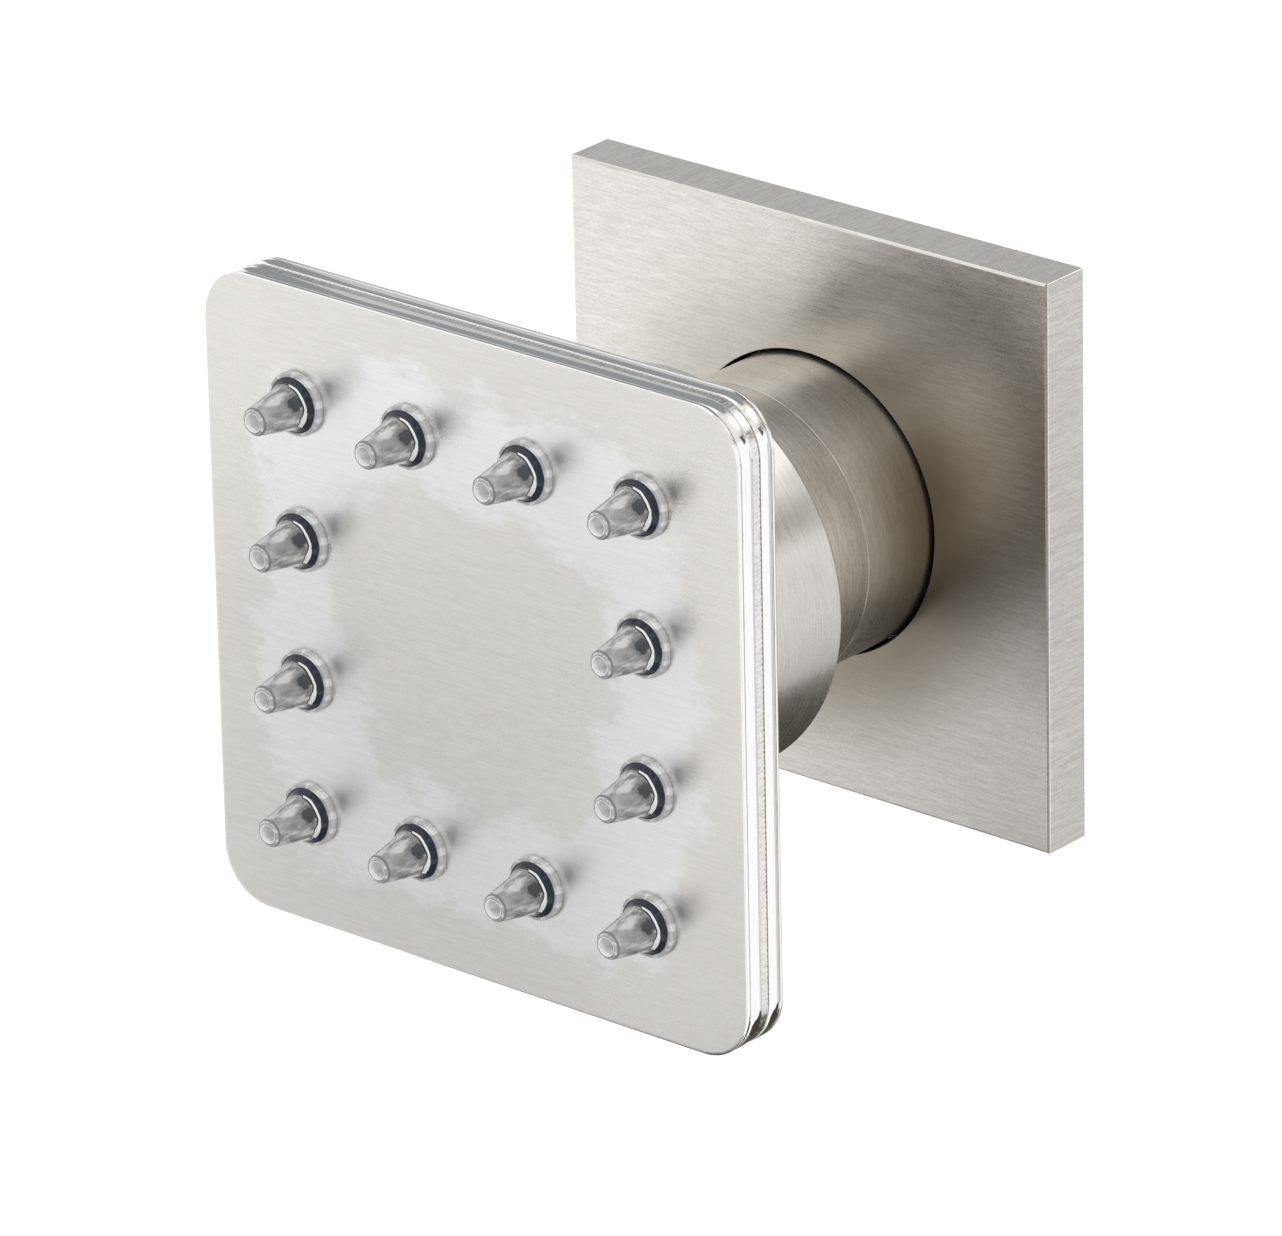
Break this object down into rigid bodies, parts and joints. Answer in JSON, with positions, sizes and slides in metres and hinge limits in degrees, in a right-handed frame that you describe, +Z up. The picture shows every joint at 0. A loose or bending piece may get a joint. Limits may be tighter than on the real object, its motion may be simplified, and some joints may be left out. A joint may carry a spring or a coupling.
{
  "type": "shower body jet",
  "caption": "Square swivelling body jet: thin brushed head with soft nozzles on a ball joint, threaded neck and square wall flange.",
  "frame": {"origin": "on the wall plane, at the axis of the threaded inlet", "axes": "+Z up, +X to the right of someone facing the wall, +Y into the wall along the inlet's axis; the jet sprays towards -Y"},
  "size_m": [0.06, 0.0567, 0.06],
  "materials": {
    "brushed_nickel": "fine brushed, satin",
    "polished_edge": "polished",
    "raw_brass": "machined",
    "clear_silicone": "translucent, smooth",
    "black_rubber": "matte",
    "seat_plastic": "smooth, low friction",
    "insert_plastic": "moulded",
    "screen_steel": "perforated sheet"
  },
  "bodies": {
    "wall_mount": {"wall_flange": "brushed_nickel", "flange_ring": "black_rubber", "neck_body": "brushed_nickel", "neck_collar": "brushed_nickel", "inlet_washer": "black_rubber", "inlet_screen": "screen_steel", "flow_restrictor": "insert_plastic", "restrictor_ring": "black_rubber", "ball_stem": "raw_brass", "stem_ring": "black_rubber"},
    "rear_seat": {"rear_seat_ring": "seat_plastic"},
    "front_seat": {"front_seat_ring": "seat_plastic"},
    "spray_head": {"ball_seal": "black_rubber", "socket_body": "raw_brass", "retaining_nut": "raw_brass", "swivel_cup": "brushed_nickel", "hub_washer": "black_rubber", "hub_nut": "raw_brass", "back_plate": "brushed_nickel", "seam_gasket": "polished_edge", "front_plate": "brushed_nickel", "closing_screws": "polished_edge", "nozzle_01": "clear_silicone", "nozzle_02": "clear_silicone", "nozzle_03": "clear_silicone", "nozzle_04": "clear_silicone", "nozzle_05": "clear_silicone", "nozzle_06": "clear_silicone", "nozzle_07": "clear_silicone", "nozzle_08": "clear_silicone", "nozzle_09": "clear_silicone", "nozzle_10": "clear_silicone", "nozzle_11": "clear_silicone", "nozzle_12": "clear_silicone"}
  },
  "joints": [
    {"name": "head_tilt", "type": "hinge", "parent": "wall_mount", "child": "rear_seat", "pos_m": [0, -0.032, 0], "axis": [1, 0, 0], "range_deg": [-12, 12]},
    {"name": "head_pan", "type": "hinge", "parent": "rear_seat", "child": "front_seat", "pos_m": [0, -0.032, 0], "axis": [0, 0, 1], "range_deg": [-12, 12]},
    {"name": "head_spin", "type": "hinge", "parent": "front_seat", "child": "spray_head", "pos_m": [0, -0.032, 0], "axis": [0, 1, 0], "continuous": true}
  ]
}
